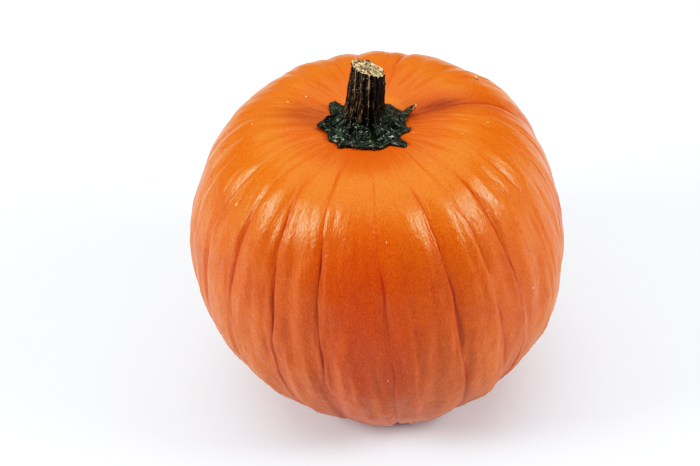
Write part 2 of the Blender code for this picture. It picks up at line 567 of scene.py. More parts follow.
# Fresh squash rind, grown smooth and waxy. It is orange all through and golden on the crown. Low
# down in front it is redder and darker, partly its own colour and partly painted shade, and it
# grows darker towards the bottom, partly as painted shade too. The furrows, their creases and the
# hollow round the stem are redder and darker, partly as painted shade, and the deep fold beside the
# stem is darker still as painted shade. A painted reflection of the pale floor makes the belly and
# sides paler, and a painted highlight makes one raised line pale. Its dimples, like those of orange
# peel, break a soft reflection into short streaks.
RIND = Finish(
    name="squash_rind_grown_waxy",
    base="#CC741A",
    tints=(
        Tint("#C46206", (-0.32, -0.04), 1.0, source="along"),
        # darker and redder towards the bottom: partly the rind's own colour and partly painted shade
        Tint("#B4540E", (0.04, 0.36), 0.7, source="along"),
        # redder and darker low down in front: partly the rind's own colour and partly painted shade
        Tint("#B84000", (0.0, 1.0), 0.80, source="blush_and_shade"),
        # paler on the belly and sides, less in front: a painted reflection of the pale floor
        Tint("#C4843C", (0.0, 1.0), 0.12, source="floor_sheen"),
        # redder and darker round the stem's foot: partly the rind's own colour and partly painted
        # shade
        Tint("#B04A08", (0.0, 1.0), 0.45, source="root"),
        # darker mottling lower down: partly the rind's own mottling and partly painted shade
        Tint("#B04604", (0.0, 0.9), 0.36, feature_mm=34.0, inside="low"),
        Tint("#A43C04", (0.0, 1.0), 0.34, feature_mm=5.0, stretch=2.4, inside="low"),
        Tint("#CB6A1A", (0.1, 1.0), 0.20, feature_mm=8.0, stretch=6.0),
        # redder and darker in the furrows' valleys: partly the rind's own colour and partly painted
        # shade
        Tint("#AA4607", (0.5, 2.8), 0.44, source="valley"),
        # darkest where the valleys are deepest, in the fold beside the stem: painted shade
        Tint("#742A10", (2.9, 4.8), 0.80, source="valley"),
        # Real pores are finer than this: they are drawn at about a millimetre so that they show.
        Tint("#A84206", (-0.6, 1.2), 0.54, feature_mm=1.2),
        Tint("#D07A1E", (-0.6, 1.2), 0.46, feature_mm=0.9),
        # darker red along the creases: partly the rind's own colour and partly painted shade
        Tint("#AA3800", (0.06, 0.45), 0.75, source="sink"),
        # pale along the raised line beside a crease: a painted highlight
        Tint("#F0B880", (-0.05, -0.35), 0.8, source="valley"),
    ),
    bumps=(
        Relief(Grain.SOFT, 4.0, 0.085, 1.7, "broad", 0.2),
        Relief(Grain.SOFT, 1.8, 0.050, 1.6, "broad", 0.9),
        Relief(Grain.SOFT, 0.9, 0.024, 1.0, "broad", 1.4),
    ),
    gloss=(0.37, 0.47),
    gloss_mm=7.0,
    specular=0.30,
    wax=0.30,
    wax_roughness=0.24,
)

# Squash stem, dried on the vine: near black between its cords, which are a dull tan and fibrous.
# Its deep clefts are painted darker as shade, and its front-left side is paler, partly as a
# painted highlight.
BARK = Finish(
    name="squash_stem_dried_fibrous",
    base="#150E0A",
    tints=(
        Tint("#3E3324", (-0.2, 0.9), 0.6, feature_mm=1.3, stretch=14.0),
        Tint("#B59C78", (0.25, 1.0), 0.85, source="cord"),
        # tan streaks on the front-left side: partly the stem's own tan and partly painted highlight
        Tint("#A48A62", (0.25, 0.95), 0.75, feature_mm=0.9, stretch=7.0, inside="pale"),
        # darker in the deep clefts between the ridges: painted shade
        Tint("#0B0806", (0.0, 1.0), 0.9, source="cleft"),
    ),
    bumps=(
        Relief(Grain.SOFT, 1.2, 0.22, 9.0, seed=0.5),
        Relief(Grain.SOFT, 0.7, 0.08, 1.5, seed=1.9),
    ),
    gloss=(0.46, 0.66),
    gloss_mm=3.0,
    specular=0.35,
)

# The stem's foot, still alive when it was cut: bottle green to black, blistered, and wet with wax,
# so that it glints at every blister.
FOOT = Finish(
    name="squash_stem_foot_blistered_waxy",
    base="#10200C",
    tints=(
        Tint("#2E461E", (0.0, 0.9), 0.85, feature_mm=3.0),
        Tint("#6A7E4C", (0.45, 1.0), 0.55, grain=Grain.BLISTERED, feature_mm=1.9),
        Tint("#D09A5C", (0.3, 1.0), 0.9, source="frill"),
    ),
    bumps=(
        Relief(Grain.BLISTERED, 1.5, 0.24, 1.0, seed=0.7),
        Relief(Grain.SOFT, 0.8, 0.12, 1.0, seed=2.3),
    ),
    gloss=(0.18, 0.34),
    gloss_mm=2.0,
    specular=0.5,
    wax=0.5,
    wax_roughness=0.07,
)

# Squash stem, cut across with shears: pale straw pith, torn fibres and the dark ends of its tubes.
# The tubes' ends are finer than the spots here, which are drawn coarser so that they show.
PITH = Finish(
    name="squash_stem_cut_pith",
    base="#E6D6AE",
    tints=(
        Tint("#7E5230", (-0.3, 0.5), 0.9, feature_mm=1.6),
        Tint("#F0E2BC", (0.2, 0.8), 0.8, feature_mm=1.3),
        Tint("#24140C", (0.15, 0.5), 0.95, grain=Grain.BLISTERED, feature_mm=3.0),
    ),
    bumps=(Relief(Grain.SOFT, 1.1, 0.5, 1.0, seed=0.4),),
    gloss=(0.75, 0.9),
    specular=0.3,
)

# The stem's prickles and torn fibres, dried hard: cream to tan, and dull.
STRAW = Finish(
    name="squash_stem_prickles_dried",
    base="#D9CCAE",
    tints=(Tint("#6E5438", (-0.2, 0.7), 0.9, feature_mm=1.2),),
    bumps=(Relief(Grain.SOFT, 0.5, 0.05, 1.0),),
    gloss=(0.6, 0.8),
    specular=0.35,
)

# Corky specks, healed over where the rind was grazed as it grew: cream and dull, brown where deep.
CORK = Finish(
    name="squash_rind_healed_cork",
    base="#E3AE84",
    tints=(
        Tint("#CF7F45", (0.1, 1.0), 0.6, feature_mm=1.1),
        Tint("#8A5A2C", (0.3, 0.8), 0.9, source="brown"),
    ),
    bumps=(Relief(Grain.SOFT, 0.6, 0.06, 1.0),),
    gloss=(0.4, 0.6),
    specular=0.4,
)

# Seamless background paper, made matt: white, with no grain that shows at this distance.
PAPER = Finish(
    name="seamless_paper_matt",
    base="#E9F0F8",
    gloss=(0.88, 0.92),
    gloss_mm=40.0,
    specular=0.3,
)


# ---------------------------------------------------------------------------- the fruit


@dataclass(frozen=True)
class Furrow:
    """A furrow between two ribs, a shallow dip in one, or a raised line if its depth is below zero.

    Attributes:
        azimuth: where it crosses the middle of the fruit.
        drift: how far it leans sideways from pole to pole.
        bow: how far it bends, in degrees at twice the distance to a pole.
        depth: how deep the broad valley is, in mm.
        width: the valley's half width in degrees.
        crease: how deep the fine line along its bottom is, in mm.
        reach: the polar angles between which the valley shows.
        line: the polar angles between which the crease shows.
        top: the share of its depth that it has near the stem.
    """

    azimuth: float
    drift: float = 0.0
    bow: float = 0.0
    depth: float = 0.0
    width: float = 5.0
    crease: float = 0.0
    reach: Span = (21.0, 168.0)
    line: Span = (20.0, 165.0)
    top: float = 0.45

    def middle(self, along: Array) -> Array:
        """The furrow's azimuth at a share of the way from pole to pole, from -0.5 to 0.5."""
        return self.azimuth + self.drift * along + self.bow * along * along

    def sizes(self) -> dict[str, float]:
        """Lists the furrow's sizes.

        Returns:
            Each size by the name of its group's input.
        """
        return {
            "Azimuth": self.azimuth,
            "Drift": self.drift,
            "Bow": self.bow,
            "Depth": self.depth,
            "Width": self.width,
            "Crease": self.crease,
            "Top": self.top,
            "Reach From": self.reach[0],
            "Reach To": self.reach[1],
            "Line From": self.line[0],
            "Line To": self.line[1],
        }


@dataclass(frozen=True)
class Fruit:
    """The whole fruit: one rind from the stem's hollow to the blossom end.

    The furrows are those of the frame's fruit, with the creases and small dips that it leaves out.

    Attributes:
        equator_radius: the radius at half height, before the ribs and swellings.
        pole_radius: how far each pole is from the middle, before the hollows.
        fullness: the power of the outline's sine. The lower it is, the boxier the fruit.
        taper_to_top: how much wider the top half is, as a share, or narrower if below zero.
        shoulder: how much wider both ends are, as a share.
        stem_hollow: the depth and radius of the hollow round the stem.
        blossom_hollow: the depth and radius of the hollow at the blossom end.
        belly_sag: how far the underside sags, at what radius, and how widely.
        flat_level: how high the flat spot is above the middle.
        oval: for a number of waves round, how much of its cosine and sine the radius has.
        swells: where it has grown fuller: azimuth, polar angle, spread in degrees and height in mm.
        columns: the number of points round.
        rings: the number of rows of faces from pole to pole.
        crease_half_width_mm: a crease's half width.
        steepness: the power that shapes a furrow's sides. The higher it is, the rounder the bottom.
        fades: half the degrees over which a valley's ends, and a crease's, fade.
        crease_least: the share of its depth that a crease keeps where its furrow is shallow.
        deepening: the polar angles between which a furrow deepens.
        crowding: how closely the columns crowd beside a crease, from 0 to 1.
        wobble: waves that bend the furrows: degrees, half waves down, waves round, and phase.
        patchiness: a crease's usual share of its depth, and how far the last two waves change it.
        bands: for each region, the polar angles where it begins, is full, begins to fade and ends.
            One that ends past 180 degrees reaches the blossom end.
        front: the azimuth and the half width of the front's redder and darker part, partly its own
        colour and partly painted shade.
        floor_sheen_lack: the share of the painted floor reflection that the front lacks, and the
        polar angles over which that ends.
        furrows: the furrows, by azimuth.
        relief: the layers of bumps.
    """

    equator_radius: float = 0.1238
    pole_radius: float = 0.1252
    fullness: float = 0.94
    taper_to_top: float = -0.055
    shoulder: float = 0.089
    stem_hollow: Span = (0.031, 0.063)
    blossom_hollow: Span = (0.013, 0.026)
    belly_sag: tuple[float, float, float] = (0.0078, 0.067, 0.0195)
    flat_level: float = -0.1195
    oval: tuple[tuple[int, float, float], ...] = ((2, -0.020, 0.007), (3, 0.008, 0.013))
    swells: tuple[tuple[float, float, float, float], ...] = (
        (115, 62, 16, 2.0),
        (180, 45, 14, 0.9),
        (215, 50, 20, 2.1),
    )
    columns: int = 520
    rings: int = 184
    crease_half_width_mm: float = 1.0
    steepness: float = 1.2
    fades: Span = (11.0, 4.0)
    crease_least: float = 0.1
    deepening: Span = (22.0, 78.0)
    crowding: float = 0.78
    wobble: tuple[tuple[float, int, int, float], ...] = (
        (0.42, 5, 7, 0.4),
        (0.24, 11, 13, 2.1),
        (0.13, 21, 29, 4.0),
    )
    patchiness: tuple[float, float, float] = (0.85, 0.30, 0.20)
    bands: tuple[tuple[str, float, float, float, float], ...] = (
        ("body", 8, 30, 158, 174),
        ("root", 9, 13, 15, 32),
        ("low", 30, 85, 181, 182),
        ("broad", 8, 56, 140, 176),
        ("belly", 85, 112, 140, 165),
        ("blush_and_shade", 5, 95, 181, 182),
        ("floor_sheen", 55, 105, 181, 182),
    )
    front: Span = (-7.0, 21.0)
    floor_sheen_lack: tuple[float, float, float] = (0.85, 92.0, 112.0)
    furrows: tuple[Furrow, ...] = (
        Furrow(0, 3, -1, 1.5, 4.0, 0.40, reach=(60, 168), line=(19, 150)),
        Furrow(7, 1, 0, 0.2, 2.5, 0.22, reach=(16, 34), line=(16, 32)),
        Furrow(14, -6, 0, 1.5, 4.0, reach=(62, 125)),
        Furrow(22, 9, -3, 2.7, 5.5, 0.42, line=(19, 150)),
        Furrow(36, 12, 2, 1.5, 4.5, 0.32, line=(22, 120)),
        Furrow(44, 3, -14, 2.5, 6.0, 0.45, line=(22, 120)),
        Furrow(54, -28, 0, 1.1, 3.5, reach=(58, 100)),
        Furrow(61, 2, 0, 0.5, 3.0, 0.30, reach=(38, 60), line=(39, 57), top=1.0),
        Furrow(62.6, 2, 0, -0.55, 0.9, reach=(43, 51), top=1.0),
        Furrow(71, 2, 0, 0.4, 3.0, 0.20, reach=(16, 44), line=(17, 43)),
        Furrow(76, -10, 3, 1.6, 5.0, 0.28, line=(24, 125)),
        Furrow(90, 2, 0, 1.2, 5.0, 0.26, line=(20, 120)),
        Furrow(104, 6, -5, 3.2, 8.0, 0.24, reach=(12, 168), line=(12, 62), top=1.15),
        Furrow(109, 0, 0, 3.0, 8.0, reach=(8, 30), top=1.0),
        Furrow(121, -3, 3, 1.0, 4.0, 0.18, line=(34, 130)),
        Furrow(133, 4, 0, 2.4, 6.0, 0.30, line=(14, 140)),
        Furrow(157, -5, 2, 1.4, 3.5, 0.22, line=(24, 120), top=1.0),
        Furrow(168, 5, -4, 2.4, 6.0, 0.28, line=(24, 140)),
        Furrow(181, -2, 1, 1.3, 3.5, 0.20, line=(26, 100), top=1.0),
        Furrow(197, 4, 0, 2.4, 5.0, 0.30, line=(22, 150), top=0.5),
        Furrow(218, -3, 2, 1.3, 4.5, 0.20, line=(18, 110)),
        Furrow(236, 5, -4, 2.4, 6.0, 0.30, line=(18, 140)),
        Furrow(246, 0, 0, 1.0, 4.5, 0.22, line=(16, 50)),
        Furrow(259, 4, -3, 1.8, 5.0, 0.26, line=(14, 120)),
        Furrow(277, 0, 0, 0.9, 4.5, 0.30, line=(16, 38)),
        Furrow(289, -9, 5, 1.5, 5.0, 0.34, line=(20, 130)),
        Furrow(304, -7, 13, 2.0, 5.5, 0.36, line=(24, 130)),
        Furrow(313, 6, 0, 1.1, 3.5, reach=(58, 110)),
        Furrow(322, 4, 1, 2.7, 6.5, 0.46, line=(20, 145)),
        Furrow(329, 10, 0, 1.3, 3.5, reach=(48, 110)),
        Furrow(339, 2, -16, 2.9, 5.5, 0.40, line=(16, 150)),
        Furrow(352, 0, 1, 1.3, 3.5, reach=(46, 92)),
        Furrow(355, 0, 70, 2.0, 2.2, reach=(90, 108)),
    )
    relief: tuple[Relief, ...] = (
        Relief(Grain.SOFT, 42.0, 0.9, 1.8, "body", 0.31),
        Relief(Grain.SOFT, 19.0, 0.62, 4.0, "body", 1.7),
        Relief(Grain.SOFT, 8.0, 0.95, 8.0, "low", 4.1),
        Relief(Grain.SOFT, 6.0, 0.16, 5.0, "body", 8.6),
        Relief(Grain.SOFT, 9.0, 0.22, 0.3, "belly", 6.3),
        Relief(Grain.RIDGED, 8.0, 0.26, 6.0, "root", 2.9),
    )

    def outline(self, polar: Array) -> tuple[Array, Array]:
        """The radius and height of the fruit without its ribs.

        Args:
            polar: polar angles in radians.

        Returns:
            The radius and the height above the middle at each angle.
        """
        sine, cosine = np.sin(polar), np.cos(polar)
        fill = 1.0 + self.taper_to_top * cosine + self.shoulder * cosine * cosine
        radius = self.equator_radius * np.maximum(sine, 0.0) ** self.fullness * fill
        hollow = self.stem_hollow[0] * bell(radius, self.stem_hollow[1])
        sag, sag_radius, sag_width = self.belly_sag
        under = self.blossom_hollow[0] * bell(radius, self.blossom_hollow[1])
        under = under - sag * bell(radius - sag_radius, sag_width)
        height = self.pole_radius * cosine + np.where(cosine > 0.0, -hollow, under)
        return radius, height

    def column_azimuths(self, along: Array) -> Array:
        """Spreads the columns so that one runs down each crease and others crowd beside it.

        Args:
            along: the share of the way from pole to pole of each ring, from -0.5 to 0.5.

        Returns:
            An azimuth for each ring and column.
        """
        lines = [furrow for furrow in self.furrows if furrow.crease]
        starts = np.array([line.middle(along) for line in lines])
        ends = np.vstack([starts[1:], starts[:1] + 360.0])
        gaps = (ends - starts).mean(axis=1)
        shares = np.rint(np.cumsum(gaps) / gaps.sum() * self.columns).astype(int)
        counts = np.diff(np.concatenate([[0], shares]))
        columns = []
        for start, end, count in zip(starts, ends, counts):
            step = np.arange(count) / count
            step = step - self.crowding * np.sin(2 * math.pi * step) / (2 * math.pi)
            columns.append(start[:, None] + (end - start)[:, None] * step[None, :])
        return np.concatenate(columns, axis=1)

    def smooth_body(self) -> Mesh:
        """Makes the fruit without its ribs, with the attributes that the furrows and finish read.

        Returns:
            A closed mesh round the fruit's own middle.
        """
        mesh, ring, column = closed_grid("fruit_rind", self.columns, self.rings)
        along = np.arange(self.rings + 1) / self.rings - 0.5
        azimuth = self.column_azimuths(along)[ring, column]
        along = along[ring]
        polar = (along + 0.5) * math.pi
        degrees = np.degrees(polar)
        radius, height = self.outline(polar)
        regions = {
            name: smooth_step(begin, full, degrees) * smooth_step(end, fade, degrees)
            for name, begin, full, fade, end in self.bands
        }
        waves = [
            (size, np.sin(down * polar + around * np.radians(azimuth) + phase))
            for size, down, around, phase in self.wobble
        ]
        turn = np.radians(azimuth + regions["body"] * sum(size * wave for size, wave in waves))
        for count, cosine, sine in self.oval:
            swell = cosine * np.cos(count * turn) + sine * np.sin(count * turn)
            radius = radius * (1.0 + np.sin(polar) * swell)
        points = np.column_stack([radius * np.sin(turn), -radius * np.cos(turn), height])
        outward = points / np.linalg.norm(points, axis=1, keepdims=True)
        for middle, low, spread, height_mm in self.swells:
            away = np.hypot(wrap(azimuth - middle) * np.sin(polar), degrees - low)
            points = points + outward * (height_mm * MM * bell(away, spread))[:, None]
        place(mesh, points)
        front = bell(wrap(azimuth - self.front[0]), self.front[1])
        lack, lack_from, lack_to = self.floor_sheen_lack
        regions["blush_and_shade"] = front * regions["blush_and_shade"]
        regions["floor_sheen"] *= 1.0 - lack * front * smooth_step(lack_to, lack_from, degrees)
        usual, *shares = self.patchiness
        patchy = sum((share * wave for share, (_, wave) in zip(shares, waves[1:])), start=usual)
        skin = np.column_stack([np.sin(turn), np.cos(turn), polar - math.pi / 2])
        kept = regions | {
            "azimuth": azimuth,
            "along": along,
            "reach": radius * math.pi / 180.0 / MM,
            "outward": outward,
            "sink": np.zeros(len(points)),
            "valley": np.zeros(len(points)),
            "patchy": patchy,
            "skin": self.equator_radius * skin,
        }
        for name, values in kept.items():
            store(mesh, name, values)
        return mesh

    def furrow_tree(self) -> NodeTree:
        """Builds the group that sinks one furrow: a broad valley with a fine crease along it.

        Returns:
            A Geometry Nodes tree with the furrow's own sizes as inputs.
        """
        tree, entry = new_tree("furrow", tuple(Furrow(0).sizes()))
        known: dict[str, Flow] = {socket.name: socket for socket in entry.outputs if socket.name}
        for name in ("azimuth", "along", "reach", "sink", "valley", "patchy"):
            known[name] = add_node(tree, NAMED, {"Name": name}, data_type="FLOAT")
        outward = add_node(tree, NAMED, {"Name": "outward"}, data_type="FLOAT_VECTOR")
        start, end = self.deepening
        # Each step is its result's name, its sum and what goes into the sum.
        steps: list[tuple] = [
            ("polar", "MULTIPLY_ADD", "along", 180.0, 90.0),
            ("lean", "MULTIPLY_ADD", "Bow", "along", "Drift"),
            ("middle", "MULTIPLY_ADD", "lean", "along", "Azimuth"),
            ("apart", "SUBTRACT", "azimuth", "middle"),
            ("turned", "WRAP", "apart", 180.0, -180.0),
            ("off", "ABSOLUTE", "turned"),
            ("deepen raw", "MULTIPLY_ADD", "polar", 1.0 / (end - start), -start / (end - start)),
        ]
        for span, fade in zip(("Reach", "Line"), self.fades):
            steps += [
                (f"{span} after", "SUBTRACT", "polar", f"{span} From"),
                (f"{span} before", "SUBTRACT", f"{span} To", "polar"),
                (f"{span} nearer", "MINIMUM", f"{span} after", f"{span} before"),
                (f"{span} raw", "MULTIPLY_ADD", f"{span} nearer", 0.5 / fade, 0.5),
            ]
        for span in ("deepen", "Reach", "Line"):
            steps += [
                (f"{span} least", "MAXIMUM", f"{span} raw", 0.0),
                (f"{span} share", "MINIMUM", f"{span} least", 1.0),
                (f"{span} square", "MULTIPLY", f"{span} share", f"{span} share"),
                (f"{span} rest", "MULTIPLY_ADD", f"{span} share", -2.0, 3.0),
                (f"{span} eased", "MULTIPLY", f"{span} square", f"{span} rest"),
            ]
        steps += [
            ("more", "SUBTRACT", 1.0, "Top"),
            ("deepen", "MULTIPLY_ADD", "deepen eased", "more", "Top"),
            ("across", "DIVIDE", "off", "Width"),
            ("steep", "POWER", "across", self.steepness),
            ("fall", "MULTIPLY", "steep", -1.0),
            ("shape", "EXPONENT", "fall"),
            ("full", "MULTIPLY", "shape", "Depth"),
            ("shown", "MULTIPLY", "full", "Reach eased"),
            ("own valley", "MULTIPLY", "shown", "deepen"),
            ("off mm", "MULTIPLY", "off", "reach"),
            ("fine", "DIVIDE", "off mm", self.crease_half_width_mm),
            ("fine steep", "POWER", "fine", self.steepness),
            ("fine fall", "MULTIPLY", "fine steep", -1.0),
            ("fine shape", "EXPONENT", "fine fall"),
            ("fine full", "MULTIPLY", "fine shape", "Crease"),
            ("fine shown", "MULTIPLY", "fine full", "Line eased"),
            ("fine patchy", "MULTIPLY", "fine shown", "patchy"),
            ("fine deepen", "MULTIPLY_ADD", "deepen", 1.0 - self.crease_least, self.crease_least),
            ("own sink", "MULTIPLY", "fine patchy", "fine deepen"),
            ("deep", "ADD", "own valley", "own sink"),
            ("inward", "MULTIPLY", "deep", -MM),
            ("new valley", "ADD", "valley", "own valley"),
            ("new sink", "ADD", "sink", "own sink"),
        ]
        for name, operation, *values in steps:
            inputs = {i: known[v] if isinstance(v, str) else v for i, v in enumerate(values)}
            known[name] = add_node(tree, MATH, inputs, operation=operation)
        inward = {0: outward, "Scale": known["inward"]}
        offset = add_node(tree, VECTOR_MATH, inward, operation="SCALE")
        flow = add_node(tree, MOVE, {"Geometry": known["Geometry"], "Offset": offset})
        for name in ("sink", "valley"):
            given = {"Geometry": flow, "Name": name, "Value": known[f"new {name}"]}
            flow = add_node(tree, STORE, given, data_type="FLOAT", domain="POINT")
        add_node(tree, "NodeGroupOutput", {"Geometry": flow})
        return tree

    def rind_tree(self, finish: Material) -> NodeTree:
        """Builds the tree that sinks every furrow into the smooth body, and raises its relief.

        Args:
            finish: the rind's material.

        Returns:
            A Geometry Nodes tree.
        """
        tree, entry = new_tree("rind", ("Relief",))
        group = self.furrow_tree()
        flow = entry.outputs["Geometry"]
        for furrow in self.furrows:
            sizes = {"Geometry": flow, **furrow.sizes()}
            flow = add_node(tree, "GeometryNodeGroup", sizes, node_tree=group).outputs[0]
        flow = raise_relief(tree, flow, self.relief, entry.outputs["Relief"])
        close_tree(tree, flow, {"": finish})
        return tree

    def build(self, finish: Material) -> Object:
        """Makes the rind and stands it where the frame's fruit stands.

        Args:
            finish: the rind's material.

        Returns:
            The finished fruit.
        """
        piece = new_object("fruit_rind", self.smooth_body())
        grow(piece, self.rind_tree(finish), {"Relief": 1.0})
        points = points_of(piece.data)
        low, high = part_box("fruit")
        mine = (points.min(axis=0) + points.max(axis=0)) / 2
        middle = (np.array(low) + np.array(high)) / 2
        points[:, :2] += middle[:2] - mine[:2]
        points[:, 2] = np.maximum(points[:, 2] - self.flat_level, low[2])
        place(piece.data, points)
        return piece


@dataclass(frozen=True)
class Ground:
    """The fruit's finished skin, for what stands on it.

    Attributes:
        fruit: the finished fruit.
        seat: the middle of the stem's hollow.
        skin: the fruit's surface, ready for rays.
    """

    fruit: Object
    seat: Vector
    skin: BVHTree

    @classmethod
    def of(cls, fruit: Object) -> Ground:
        """Measures a finished fruit.

        Args:
            fruit: the finished fruit.

        Returns:
            Its skin, ready for what stands on it.
        """
        points = [Vector(p) for p in points_of(fruit.data)]
        skin = BVHTree.FromPolygons(points, [list(face.vertices) for face in fruit.data.polygons])
        return cls(fruit, skin.ray_cast(Vector((0, 0, 1)), DOWN)[0], skin)

    def rise(self, ring: Array) -> Array:
        """The skin's height above the seat under each point of a ring.

        Args:
            ring: points measured from the seat, one row each.

        Returns:
            One height a point.
        """
        starts = [self.seat + Vector((x, y, ABOVE_SEAT)) for x, y, _ in ring]
        return np.array([self.skin.ray_cast(start, DOWN)[0].z - self.seat.z for start in starts])

    def nearest(self, azimuth: float, polar: float) -> tuple[Vector, Vector]:
        """Finds a place on the skin.

        Args:
            azimuth: its azimuth.
            polar: its polar angle.

        Returns:
            The nearest point of the skin, and the way that it faces.
        """
        mesh = self.fruit.data
        along = (read(mesh, "along") + 0.5) * 180.0 - polar
        off = wrap(read(mesh, "azimuth") - azimuth) * math.sin(math.radians(polar))
        vertex = mesh.vertices[int(np.argmin(along**2 + off**2))]
        return vertex.co.copy(), vertex.normal.copy()


# ---------------------------------------------------------------------------- small growths


@dataclass(frozen=True)
class Sprinkle:
    """Small shapes that grow at random all over a surface.

    Attributes:
        name: the name of the piece that they make up.
        sprig: the kind of shape.
        where: the attribute that says how thick they stand, from 0 to 1.
        density: how many there are on a square metre where they stand thickest.
        radius_mm: a middling one's radius.
        length_mm: a middling one's length or height.
        spread: how far the sizes differ, as a share.
        seed: which of the endless layouts is used.
        lean: how far they lean from upright at most, in radians.
        lie: how far a strand lies over, in radians.
        facets: the sides of a prickle or strand, and the segments and rings of a dome.
    """

    name: str
    sprig: Sprig
    where: str
    density: float
    radius_mm: float
    length_mm: float
    spread: float = 0.5
    seed: int = 1
    lean: float = 0.25
    lie: float = 1.42
    facets: tuple[int, int, int] = (6, 10, 6)

    def shape(self, tree: NodeTree, radius: Flow, length: Flow) -> Node:
        """Adds the small shape, which grows along Z, or lies along the surface if it is a strand.

        Args:
            tree: the Geometry Nodes tree.
            radius: its radius.
            length: its length or height.

        Returns:
            The node that gives the shape.
        """
        sides, segments, rings = self.facets
        if self.sprig is Sprig.DOME:
            ball = add_node(tree, BALL, {"Segments": segments, "Rings": rings, "Radius": 1.0})
            size = add_node(tree, "ShaderNodeCombineXYZ", {"X": radius, "Y": radius, "Z": length})
            return add_node(tree, TRANSFORM, {"Geometry": ball, "Scale": size})
        sizes = {"Vertices": sides, "Radius Top": 0.0, "Radius Bottom": radius, "Depth": length}
        cone = add_node(tree, "GeometryNodeMeshCone", sizes)
        tilt = self.lie if self.sprig is Sprig.STRAND else 0.0
        return add_node(tree, TRANSFORM, {"Geometry": cone, "Rotation": (tilt, 0.0, 0.0)})

    def tree(self, finish: Material) -> NodeTree:
        """Builds the tree that takes the surface and gives the shapes alone.

        Args:
            finish: their material.

        Returns:
            The Geometry Nodes tree.
        """
        tree, entry = new_tree(f"{self.sprig.value}s", ("Radius", "Length", "Density"))
        given = entry.outputs
        thick = add_node(tree, NAMED, {"Name": self.where}, data_type="FLOAT")
        density = add_node(tree, MATH, {0: thick, 1: given["Density"]}, operation="MULTIPLY")
        over = {"Mesh": given["Geometry"], "Density": density, "Seed": self.seed}
        spots = add_node(tree, "GeometryNodeDistributePointsOnFaces", over)
        least, most = 1.0 - self.spread, 1.0 + self.spread
        sizes = {"Min": (least,) * 3, "Max": (most,) * 3, "Seed": self.seed + 1}
        size = add_node(tree, RANDOM, sizes, data_type="FLOAT_VECTOR")
        low, high = (-self.lean, -self.lean, 0.0), (self.lean, self.lean, 2 * math.pi)
        turns = {"Min": low, "Max": high, "Seed": self.seed + 2}
        turn = add_node(tree, RANDOM, turns, data_type="FLOAT_VECTOR")
        inputs = {name: spots.outputs[name] for name in ("Points", "Rotation")}
        inputs["Instance"] = self.shape(tree, given["Radius"], given["Length"])
        grown = add_node(tree, INSTANCE, inputs | {"Scale": size})
        spun = add_node(tree, "GeometryNodeRotateInstances", {"Instances": grown, "Rotation": turn})
        close_tree(tree, spun, {"": finish})
        return tree

    def build(self, host: Object, finish: Material) -> Object:
        """Grows the shapes on a finished piece.

        Args:
            host: the piece whose surface they grow on.
            finish: their material.

        Returns:
            The shapes as one piece of their own.
        """
        mesh = host.data.copy()
        mesh.materials.clear()
        mesh.name = self.name
        piece = new_object(self.name, mesh)
        radius, length = self.radius_mm * MM, self.length_mm * MM
        sizes = {"Radius": radius, "Length": length, "Density": self.density}
        grow(piece, self.tree(finish), sizes)
        return piece


# Real prickles and torn fibres are finer than these, which are drawn thick enough to show.
PRICKLES = Sprinkle(
    "stem_prickles", Sprig.PRICKLE, "prickly", 260_000, 0.23, 0.5, spread=0.6, seed=3
)
FIBRES = Sprinkle("stem_cut_fibres", Sprig.STRAND, "face", 200_000, 0.24, 2.3, seed=11)
BLISTERS = Sprinkle("stem_foot_blisters", Sprig.DOME, "foot", 110_000, 0.65, 0.6, seed=7)


@dataclass(frozen=True)
class Scar:
    """A corky speck at a chosen place, as a low dome.

    Attributes:
        azimuth: its azimuth.
        polar: its polar angle.
        across_mm: its half width along the azimuths.
        down_mm: its half length from pole to pole.
        brown: how brown it is, from 0 to 1.
    """

    azimuth: float
    polar: float
    across_mm: float = 0.6
    down_mm: float = 0.8
    brown: float = 0.0


